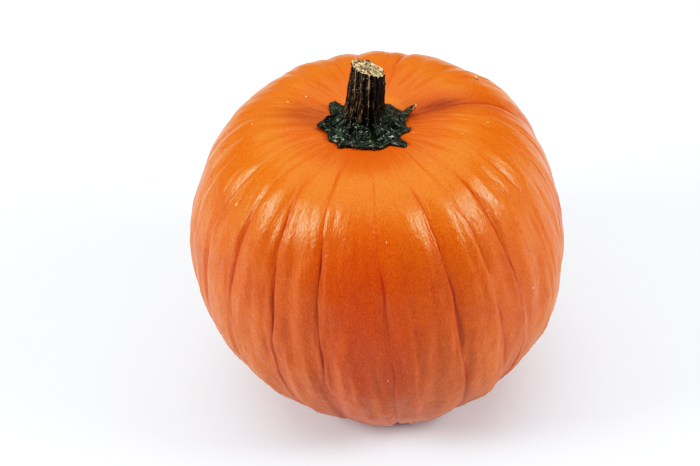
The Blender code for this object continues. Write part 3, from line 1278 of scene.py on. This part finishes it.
@dataclass(frozen=True)
class Scars:
    """The rind's few healed specks.

    Attributes:
        height_mm: how far each stands out.
        facets: the segments and rings of each dome.
        scars: the specks.
    """

    height_mm: float = 0.35
    facets: tuple[int, int] = (14, 8)
    scars: tuple[Scar, ...] = (
        Scar(-115, 24, 0.8, 1.0),
        Scar(-125, 21, 0.6, 0.8),
        Scar(-82, 57, 0.6, 1.0),
        Scar(-64, 51, 0.8, 1.2),
        Scar(-97, 34, 0.5, 0.6),
        Scar(-103, 48, 0.5, 0.6),
        Scar(-91, 46, 0.5, 0.6),
        Scar(83.5, 35, 0.5, 0.8),
        Scar(69, 27.5, 0.3, 0.8),
        Scar(3.5, 47.5, 0.35, 0.8),
        Scar(-2, 95.5, 0.5, 0.7),
        Scar(49, 82, 0.7, 0.9),
        Scar(121, 41, 1.5, 2.1, 1.0),
        Scar(122.6, 42, 1.3, 1.4, 0.4),
        Scar(-49.5, 67, 0.5, 0.5, 1.0),
        Scar(150, 60, 0.8, 1.0),
        Scar(-150, 72, 0.7, 1.1),
        Scar(172, 95, 0.6, 0.9),
        Scar(-170, 118, 1.1, 1.4, 0.5),
        Scar(100, 104, 0.6, 0.8),
    )

    def tree(self, finish: Material) -> NodeTree:
        """Builds the tree that grows a dome on each point.

        Args:
            finish: the cork's material.

        Returns:
            The Geometry Nodes tree.
        """
        tree, entry = new_tree("scars", ("Height",))
        facing, down, size = (
            add_node(tree, NAMED, {"Name": name}, data_type="FLOAT_VECTOR")
            for name in ("facing", "down", "size")
        )
        upright = add_node(tree, ALIGN, {"Vector": facing}, axis="Z")
        aimed = {"Rotation": upright, "Vector": down}
        turned = add_node(tree, ALIGN, aimed, axis="Y", pivot_axis="Z")
        segments, rings = self.facets
        ball = add_node(tree, BALL, {"Segments": segments, "Rings": rings, "Radius": 1.0})
        height = entry.outputs["Height"]
        tall = add_node(tree, "ShaderNodeCombineXYZ", {"X": 1.0, "Y": 1.0, "Z": height})
        dome = add_node(tree, TRANSFORM, {"Geometry": ball, "Scale": tall})
        inputs = {"Points": entry.outputs["Geometry"], "Instance": dome, "Rotation": turned}
        specks = add_node(tree, INSTANCE, inputs | {"Scale": size})
        close_tree(tree, specks, {"": finish})
        return tree

    def build(self, ground: Ground, finish: Material) -> Object:
        """Makes the specks on the fruit's skin.

        Args:
            ground: the fruit's skin.
            finish: the cork's material.

        Returns:
            The specks as one piece.
        """
        spots = [ground.nearest(scar.azimuth, scar.polar) for scar in self.scars]
        points, facings = zip(*spots)
        mesh = bpy.data.meshes.new("fruit_scars")
        mesh.from_pydata(points, [], [])
        kept = {
            "facing": facings,
            "down": [facing.cross(Vector((facing.y, -facing.x, 0))) for facing in facings],
            "size": [(scar.across_mm * MM, scar.down_mm * MM, MM) for scar in self.scars],
            "brown": [scar.brown for scar in self.scars],
            "skin": points,
        }
        for name, values in kept.items():
            store(mesh, name, np.array(values))
        piece = new_object("fruit_scars", mesh)
        grow(piece, self.tree(finish), {"Height": self.height_mm})
        return piece


# ---------------------------------------------------------------------------- the stem


@dataclass(frozen=True)
class Ridge:
    """A ridge, or a furrow if its height is below zero, that runs up the stem's shaft.

    Attributes:
        azimuth: where it stands.
        width: its half width in degrees.
        height_mm: how far it stands out.
        pale: how tan its cord is, from 0 to 1.
    """

    azimuth: float
    width: float
    height_mm: float
    pale: float = 0.0


@dataclass(frozen=True)
class Point:
    """A point of the foot's star, or a bay in it if its reach is below zero.

    Attributes:
        azimuth: where it is.
        width: its half width in degrees.
        reach: how far it reaches out past the foot's own radius.
        lift: how far its tip stands off the skin.
    """

    azimuth: float
    width: float
    reach: float
    lift: float = 0.0


@dataclass(frozen=True)
class Stem:
    """The woody stem: a ridged shaft with a slanting cut, on a foot like a star.

    Its rows run from the middle of the cut out to its rim, down the shaft, out over the foot to the
    star's edge, and back under it to the middle.

    Attributes:
        height: how high the middle of the cut is above the seat.
        lean: how far the axis leans towards +X, as a share of the height.
        aside: how far the shaft stands to the side of the seat.
        depth_to_width: the shaft's depth from front to back, as a share of its width.
        cut_slope: the cut's slope towards +X and towards the back.
        half_widths: shares of the way up, and the shaft's half width there.
        shaft_base: the share of the way up at which the shaft meets the foot.
        foot_radius: the foot's radius where it has no point or bay.
        foot_edge: the foot's thickness near its edge.
        edge_power: the power that rounds the edge. The higher it is, the fuller the edge.
        foot_swell: the power with which the foot falls away from the shaft.
        fold_mm: how high the fold is that runs on over the foot, for each mm of its ridge's height.
        fold_width: the half width of a fold as a share of its ridge's.
        fold_most: the most mm of the ridges' heights that count in a fold.
        sunk_mm: how deep the foot's underside lies in the skin.
        under_lift: how much of a tip's lift its underside has, as a share.
        twist: how many degrees the ridges turn from the skin to the cut.
        skin_radius: the radius of the even tube that the patterns are laid round.
        columns: the number of points round.
        row_counts: the number of rows on the cut, on the shaft, and from its last over the foot.
        face_rim: the share of the cut's radius at which its last row lies.
        under_shares: the shares of the foot's radius at which the rows under it lie.
        ridge_growth: the share of its height that a ridge has at the foot and at the cut.
        cord_width: the half width of a tan cord as a share of its ridge's.
        cord_least: how tan a cord is at its lower end, as a share.
        cord_rise: the shares of the way up between which it comes to its full tan.
        cleft_width: the half width of a dark cleft as a share of its furrow's.
        cleft_mm: the height below which a furrow is a dark cleft.
        bark_end: how far out on the foot the bark begins to fade and is gone, as shares.
        green_start: how far out on it the green begins and is full, as shares.
        climb: the shares of the way up between which the green fades.
        ragged: waves that make that limit uneven: their size, and how many go round.
        pale_side: the azimuth and half width of the side that has more prickles and is paler,
        partly as a painted highlight.
        pale_least: how pale the other side is, as a share.
        prickly_least: how thick its prickles stand, as a share.
        frill: the azimuth and half width of the dried edge of one point.
        frill_edge: how far out on the foot that edge begins and is full, as shares.
        ridges: the ridges and furrows.
        points: the points and bays of the star.
        relief: the layers of bumps.
    """

    height: float = 0.0455
    lean: float = 0.135
    aside: float = -0.0014
    depth_to_width: float = 0.88
    cut_slope: Span = (-0.50, -0.13)
    half_widths: tuple[Span, ...] = (
        (1.00, 0.0097),
        (0.75, 0.0098),
        (0.50, 0.0104),
        (0.34, 0.0112),
        (0.22, 0.0130),
    )
    shaft_base: float = 0.22
    foot_radius: float = 0.0262
    foot_edge: float = 0.0036
    edge_power: int = 10
    foot_swell: float = 3.0
    fold_mm: float = 1.1
    fold_width: float = 1.3
    fold_most: float = 1.4
    sunk_mm: float = 0.2
    under_lift: float = 0.8
    twist: float = 8.0
    skin_radius: float = 0.0098
    columns: int = 400
    row_counts: tuple[int, int, int] = (26, 76, 62)
    face_rim: float = 0.985
    under_shares: tuple[float, ...] = (0.97, 0.8, 0.5, 0.2, 0.0)
    ridge_growth: Span = (1.25, 0.5)
    cord_width: float = 0.42
    cord_least: float = 0.45
    cord_rise: Span = (0.25, 0.75)
    # cleft_width: the half width of a cleft's painted shade as a share of its furrow's. cleft_mm: the
    # height below which a furrow gets a cleft's painted shade.
    cleft_width: float = 1.1
    cleft_mm: float = -1.0
    bark_end: Span = (0.0, 0.25)
    green_start: Span = (0.0, 0.2)
    climb: Span = (0.20, 0.34)
    ragged: tuple[Span, ...] = ((0.03, 5.0), (0.02, 11.0))
    pale_side: Span = (-35.0, 48.0)
    pale_least: float = 0.25
    prickly_least: float = 0.10
    frill: Span = (103.0, 9.0)
    frill_edge: Span = (0.90, 0.99)
    ridges: tuple[Ridge, ...] = (
        Ridge(-108, 5, 0.7),
        Ridge(-95, 6, 0.9, 0.3),
        Ridge(-80, 3, -0.7),
        Ridge(-68, 4, 0.8, 0.5),
        Ridge(-57, 3, -0.5),
        Ridge(-46, 4, 0.9, 0.9),
        Ridge(-35, 3, -0.9),
        Ridge(-22, 6, 1.1, 0.5),
        Ridge(-10, 3, -0.7),
        Ridge(5, 4, 1.4, 1.0),
        Ridge(14, 4, -3.2),
        Ridge(25, 4, 0.9, 0.2),
        Ridge(34, 3, -0.5),
        Ridge(44, 5, 0.8, 0.25),
        Ridge(55, 3, -0.6),
        Ridge(66, 5, 0.7, 0.35),
        Ridge(78, 4, -0.4),
        Ridge(88, 5, 0.8, 0.3),
        Ridge(104, 6, -1.5),
        Ridge(125, 7, 1.1, 0.5),
        Ridge(140, 4, -0.7),
        Ridge(152, 6, -1.2),
        Ridge(168, 5, 0.9, 0.6),
        Ridge(183, 6, 1.0, 0.3),
        Ridge(197, 4, -0.8),
        Ridge(212, 5, -1.2),
        Ridge(230, 6, 1.0, 0.7),
    )
    points: tuple[Point, ...] = (
        Point(-132, 7, 0.0045, 0.0015),
        Point(-86, 8, 0.0050, 0.0008),
        Point(-56, 6, 0.0020),
        Point(-36, 7, 0.0035),
        Point(-10, 8, 0.0015),
        Point(18, 9, 0.0025),
        Point(40, 6, 0.0100),
        Point(67, 6, 0.0040),
        Point(103, 6, 0.0085, 0.0065),
        Point(-111, 8, -0.0035),
        Point(-20, 24, -0.0012),
        Point(148, 24, -0.0055),
        Point(-156, 26, -0.0055),
    )
    relief: tuple[Relief, ...] = (
        Relief(Grain.RIDGED, 1.7, 0.34, 12.0, "shaft", 0.6),
        Relief(Grain.SOFT, 6.0, 0.55, 2.0, "shaft", 1.1),
        Relief(Grain.BLISTERED, 3.4, 1.0, 1.0, "foot", 3.3),
        Relief(Grain.SOFT, 6.0, 1.5, 1.0, "foot", 5.9),
        Relief(Grain.BLISTERED, 1.7, 0.45, 1.0, "foot", 7.7),
        Relief(Grain.SOFT, 4.5, 0.5, 1.0, "face", 9.1),
        Relief(Grain.BLISTERED, 2.0, -0.35, 1.0, "face", 8.3),
    )

    def star(self, azimuth: Array) -> tuple[Array, Array]:
        """Adds up the star's points.

        Args:
            azimuth: azimuths in degrees.

        Returns:
            The foot's radius at each azimuth, and how far its edge stands off the skin there.
        """
        near = [bell(wrap(azimuth - point.azimuth), point.width) for point in self.points]
        reach = sum(point.reach * share for point, share in zip(self.points, near))
        lift = sum(point.lift * share for point, share in zip(self.points, near))
        return self.foot_radius + reach, lift

    def ridged(self, turned: Array, wider: float = 1.0) -> Array:
        """How high ridges so many times wider would stand at each untwisted azimuth, in mm."""
        near = (r.height_mm * bell(wrap(turned - r.azimuth), r.width * wider) for r in self.ridges)
        return sum(near)

    def turned(self, azimuth: Array, share: Array | float) -> Array:
        """Where each azimuth comes to lie on the untwisted shaft, at a share of the way up."""
        return azimuth - self.twist * (0.5 - share)

    def shaft(self, azimuth: Array, share: float) -> Array:
        """The shaft's radius at each azimuth, at a share of the way up.

        Args:
            azimuth: azimuths in degrees.
            share: 0 at the skin and 1 at the cut.

        Returns:
            The radius at each azimuth.
        """
        shares, widths = zip(*reversed(self.half_widths))
        half_width = np.interp(share, shares, widths)
        turn = np.radians(azimuth)
        radius = half_width * np.hypot(np.sin(turn), np.cos(turn) * self.depth_to_width)
        growth = np.interp(share, (self.shaft_base, 1.0), self.ridge_growth) * MM
        return radius + growth * self.ridged(self.turned(azimuth, share))

    def ring(self, azimuth: Array, radius: Array, level: float, slant: float) -> Array:
        """Points round the leaning axis, measured from the seat.

        Args:
            azimuth: azimuths in degrees.
            radius: the radius at each azimuth.
            level: the height above the seat.
            slant: how much of the cut's slope the ring has.

        Returns:
            One row a point.
        """
        turn = np.radians(azimuth)
        across, back = radius * np.sin(turn), -radius * np.cos(turn)
        slope = self.cut_slope[0] * across + self.cut_slope[1] * back
        middle = self.aside * min(level / (self.shaft_base * self.height), 1.0) + self.lean * level
        return np.column_stack([across + middle, back, level + slant * slope])

    def foot_rings(self, azimuth: Array, ground: Ground) -> list[tuple[float, Array]]:
        """Lays out the foot's rows of points, over it and then back under it.

        Args:
            azimuth: the azimuth of each column.
            ground: the fruit's skin, which the foot follows.

        Returns:
            For each row, how far out on the foot it is, and its points.
        """
        rings: list[tuple[float, Array]] = []
        base, (edge, lift) = self.shaft(azimuth, self.shaft_base), self.star(azimuth)
        level = self.shaft_base * self.height
        top = self.ring(azimuth, base, level, self.shaft_base)
        rise = top[:, 2] - ground.rise(top) - self.foot_edge
        fold = self.ridged(self.turned(azimuth, self.shaft_base), self.fold_width)
        fold = np.clip(fold, -self.fold_most, self.fold_most) * self.fold_mm * MM
        for share in np.linspace(0.0, 1.0, self.row_counts[2])[1:]:
            radius = base + (edge - base) * share
            ring = self.ring(azimuth, radius, level * (1.0 - share), 0.0)
            above = self.foot_edge * math.sqrt(max(1.0 - share**self.edge_power, 0.0))
            above = above + rise * (1.0 - share) ** self.foot_swell
            above = above + fold * math.sin(math.pi * share) + lift * share**2
            ring[:, 2] = ground.rise(ring) + above
            rings.append((share, ring))
        for share in self.under_shares:
            ring = self.ring(azimuth, edge * share, 0.0, 0.0)
            off_skin = lift * share**2 * self.under_lift
            ring[:, 2] = ground.rise(ring) - self.sunk_mm * MM + off_skin
            rings.append((1.0, ring))
        return rings

    def rows(self, azimuth: Array, ground: Ground) -> tuple[Array, Array, Array]:
        """Lays out the stem's rows of points.

        Args:
            azimuth: the azimuth of each column.
            ground: the fruit's skin, which the foot follows.

        Returns:
            The points of each row and column; for each row, how far it is on the cut face; and for
            each row, how far out it is on the foot.
        """
        on_face, on_shaft, _ = self.row_counts
        rim = self.shaft(azimuth, 1.0)
        shares = np.linspace(0.0, self.face_rim, on_face)
        rows = [self.ring(azimuth, rim * share, self.height, 1.0) for share in shares]
        for share in np.linspace(1.0, self.shaft_base, on_shaft):
            rows.append(self.ring(azimuth, self.shaft(azimuth, share), self.height * share, share))
        outs, rings = zip(*self.foot_rings(azimuth, ground))
        face = np.repeat([1.0, 0.0], [on_face, on_shaft + len(outs)])
        foot = np.concatenate([np.zeros(on_face + on_shaft), outs])
        return np.array(rows + list(rings)), face, foot

    def regions(self, here: Array, share: Array, face: Array, foot: Array) -> dict[str, Array]:
        """Works out where each finish and each layer of bumps shows.

        Args:
            here: the azimuth of each vertex.
            share: how far up it is, from 0 at the skin to 1 at the cut.
            face: how far it is on the cut face.
            foot: how far out it is on the foot.

        Returns:
            The values of each attribute.
        """
        turned = self.turned(here, share)
        off = [(ridge, wrap(turned - ridge.azimuth)) for ridge in self.ridges]
        cords = sum(ridge.pale * bell(away, ridge.width * self.cord_width) for ridge, away in off)
        deep = [(ridge, away) for ridge, away in off if ridge.height_mm < self.cleft_mm]
        clefts = sum(bell(away, ridge.width * self.cleft_width) for ridge, away in deep)
        ragged = sum(size * np.sin(np.radians(count * turned)) for size, count in self.ragged)
        climb = smooth_step(self.climb[1], self.climb[0], share + ragged)
        shaft = (1.0 - face) * (1.0 - smooth_step(*self.bark_end, foot))
        pale = bell(wrap(here - self.pale_side[0]), self.pale_side[1])
        frill = bell(wrap(here - self.frill[0]), self.frill[1])
        return {
            "foot": np.maximum(smooth_step(*self.green_start, foot), climb) * (1.0 - face),
            "shaft": shaft * (1.0 - climb),
            "face": face,
            "cord": cords * at_least(self.cord_least, smooth_step(*self.cord_rise, share)),
            "cleft": clefts,
            "pale": at_least(self.pale_least, pale),
            "prickly": shaft * at_least(self.prickly_least, pale),
            "frill": frill * smooth_step(*self.frill_edge, foot),
        }

    def tree(self, finishes: dict[str, Material]) -> NodeTree:
        """Builds the tree that raises the stem's relief.

        Args:
            finishes: the material of each of its regions.

        Returns:
            The Geometry Nodes tree.
        """
        tree, entry = new_tree("stem", ("Relief",))
        flow = raise_relief(tree, entry.outputs["Geometry"], self.relief, entry.outputs["Relief"])
        close_tree(tree, flow, finishes)
        return tree

    def build(self, ground: Ground, finishes: dict[str, Material]) -> Object:
        """Makes the stem on the fruit's skin.

        Args:
            ground: the fruit's skin.
            finishes: the material of the shaft under an empty name, and those of foot and face.

        Returns:
            The finished stem.
        """
        azimuth = np.arange(self.columns) * 360.0 / self.columns
        grid, face, foot = self.rows(azimuth, ground)
        mesh, ring, column = closed_grid("stem_body", self.columns, len(grid) - 1)
        place(mesh, grid[ring, column] + np.array(ground.seat))
        steps = np.linalg.norm(np.diff(grid, axis=0), axis=2).mean(axis=1)
        length = np.cumsum(np.concatenate([[0.0], steps]))[ring]
        share = np.clip(grid[ring, column][:, 2] / self.height, 0.0, 1.0)
        here, radius = azimuth[column], self.skin_radius
        turn = np.radians(here)
        skin = np.column_stack([radius * np.sin(turn), radius * np.cos(turn), length])
        kept = {"skin": skin} | self.regions(here, share, face[ring], foot[ring])
        for name, values in kept.items():
            store(mesh, name, values)
        piece = new_object("stem_body", mesh)
        grow(piece, self.tree(finishes), {"Relief": 1.0})
        return piece


# ---------------------------------------------------------------------------- the studio


@dataclass(frozen=True)
class SoftBox:
    """A soft box, aimed at the fruit's middle.

    Attributes:
        name: its name.
        azimuth: the azimuth that it hangs at.
        elevation: its height above the horizon, in degrees.
        distance: how far it hangs from the fruit's middle.
        width: its width.
        height: its height.
        glow: its radiance, where white paper in the studio has about 1.
    """

    name: str
    azimuth: float
    elevation: float
    distance: float
    width: float
    height: float
    glow: float

    def hang(self, middle: Vector) -> None:
        """Makes the light and turns it to the fruit's middle.

        Args:
            middle: the point that it is aimed at.
        """
        lamp = bpy.data.lights.new(self.name, "AREA")
        lamp.shape = "RECTANGLE"
        lamp.size, lamp.size_y = self.width, self.height
        lamp.energy = self.glow * math.pi * self.width * self.height
        turn, rise = math.radians(self.azimuth), math.radians(self.elevation)
        out = math.cos(rise)
        away = Vector((math.sin(turn) * out, -math.cos(turn) * out, math.sin(rise)))
        hung = bpy.data.objects.new(self.name, lamp)
        hung.location = middle + away * self.distance
        hung.rotation_euler = away.to_track_quat("Z", "Y").to_euler()
        bpy.context.scene.collection.objects.link(hung)


@dataclass(frozen=True)
class Studio:
    """The pale floor, the soft lights and the camera, which looks down on the fruit's best side.

    Attributes:
        elevation: how far above the horizon the camera is, in degrees.
        roll: how far it is turned about its own axis, in degrees.
        distance: how far it is from the middle.
        lens: its focal length in mm.
        near: how close to it things start to show.
        pan: how far left of the middle it aims.
        tilt: how far below the middle it aims.
        middle: the point that the camera and the lights are set round.
        floor_size: how long the floor's sides are.
        ambient: the strength of the room's own light.
        tone_limit: the most light that the tone curve covers.
        tone_points: amounts of light, and how bright the picture shows them.
        boxes: the soft boxes.
    """

    elevation: float = 44.0
    roll: float = -5.2
    distance: float = 0.96
    lens: float = 73.1
    near: float = 0.05
    pan: float = 0.0191
    tilt: float = 0.0022
    middle: tuple[float, float, float] = (0.002, 0.0, 0.1225)
    floor_size: float = 12.0
    ambient: float = 0.02
    tone_limit: float = 2.0
    tone_points: tuple[Span, ...] = (
        (0.05, 0.014),
        (0.10, 0.038),
        (0.20, 0.115),
        (0.35, 0.27),
        (0.50, 0.44),
        (0.70, 0.66),
        (0.90, 0.83),
        (1.10, 0.93),
        (1.40, 1.0),
    )
    boxes: tuple[SoftBox, ...] = (
        SoftBox("left", -79, 32, 2.5, 0.68, 1.40, 21.6),
        SoftBox("right", 74, 33, 2.5, 0.65, 1.35, 21.6),
        SoftBox("top", 180, 76, 2.8, 4.0, 4.0, 1.93),
        SoftBox("back", 183, 16, 2.5, 2.8, 0.9, 0.55),
    )

    def camera(self) -> None:
        """Makes the camera and hands it to the scene."""
        rise, turn = math.radians(self.elevation), math.radians(self.roll)
        back = Vector((0.0, -math.cos(rise), math.sin(rise)))
        level = Vector((1.0, 0.0, 0.0))
        above = back.cross(level)
        right = math.cos(turn) * level + math.sin(turn) * above
        up = -math.sin(turn) * level + math.cos(turn) * above
        middle = Vector(self.middle)
        eye = middle + back * self.distance
        aim = middle - right * self.pan - up * self.tilt
        toward = (eye - aim).normalized()
        across = up.cross(toward).normalized()
        lens = bpy.data.cameras.new("camera")
        lens.lens = self.lens
        lens.clip_start = self.near
        camera = bpy.data.objects.new("camera", lens)
        facing = Matrix((across, toward.cross(across), toward)).transposed()
        camera.matrix_world = Matrix.Translation(eye) @ facing.to_4x4()
        bpy.context.scene.collection.objects.link(camera)
        bpy.context.scene.camera = camera

    def floor(self) -> None:
        """Makes the plain pale floor."""
        shape = bmesh.new()
        bmesh.ops.create_grid(shape, x_segments=1, y_segments=1, size=self.floor_size / 2)
        mesh = bpy.data.meshes.new("floor")
        shape.to_mesh(mesh)
        shape.free()
        mesh.materials.append(PAPER.material())
        new_object("floor", mesh)

    def room(self) -> None:
        """Sets the room's own faint light."""
        world = bpy.data.worlds.new("room")
        world.use_nodes = True
        glow = world.node_tree.nodes["Background"]
        glow.inputs["Color"].default_value = (1.0, 1.0, 1.0, 1.0)
        glow.inputs["Strength"].default_value = self.ambient
        bpy.context.scene.world = world

    def tone(self) -> None:
        """Gives the picture a soft shoulder and a firm toe, so that white paper stays white."""
        settings = bpy.context.scene.view_settings
        settings.view_transform = "Standard"
        settings.use_curve_mapping = True
        mapping = settings.curve_mapping
        mapping.clip_max_x = mapping.clip_max_y = self.tone_limit
        # The first three curves are for red, green and blue, and the last for all of them.
        curve = mapping.curves[3]
        curve.points[-1].location = self.tone_points[-1]
        for x, y in self.tone_points[:-1]:
            curve.points.new(x, y)
        mapping.update()

    def set_up(self) -> None:
        """Makes the camera, the floor and the lights."""
        self.camera()
        self.floor()
        for box in self.boxes:
            box.hang(Vector(self.middle))
        self.room()
        self.tone()


# ---------------------------------------------------------------------------- the whole


def report(piece: Object) -> None:
    """Logs a piece's name and its number of faces."""
    LOG.info("%s: %d faces", piece.name, len(piece.data.polygons))


def dress(piece: Object, node: str) -> None:
    """Fixes a piece to the frame in place of a node, and hides that node's own part.

    Args:
        piece: the finished piece.
        node: the frame's node that it stands for.
    """
    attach(piece, "root")
    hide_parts(node)
    report(piece)


def main() -> None:
    """Builds the pumpkin around its frame."""
    logging.basicConfig(level=logging.INFO, format="%(name)s: %(message)s")
    for leftover in list(bpy.data.objects):
        bpy.data.objects.remove(leftover)
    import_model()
    Studio().set_up()
    fruit = Fruit().build(RIND.material())
    ground = Ground.of(fruit)
    scars = Scars().build(ground, CORK.material())
    bark, foot, pith, straw = (finish.material() for finish in (BARK, FOOT, PITH, STRAW))
    stem = Stem().build(ground, {"": bark, "foot": foot, "face": pith})
    prickles, strands = PRICKLES.build(stem, straw), FIBRES.build(stem, straw)
    blisters = BLISTERS.build(stem, foot)
    for piece in (fruit, scars):
        dress(piece, "fruit")
    for piece in (stem, prickles, strands, blisters):
        dress(piece, "stem")


if __name__ == "__main__":
    main()
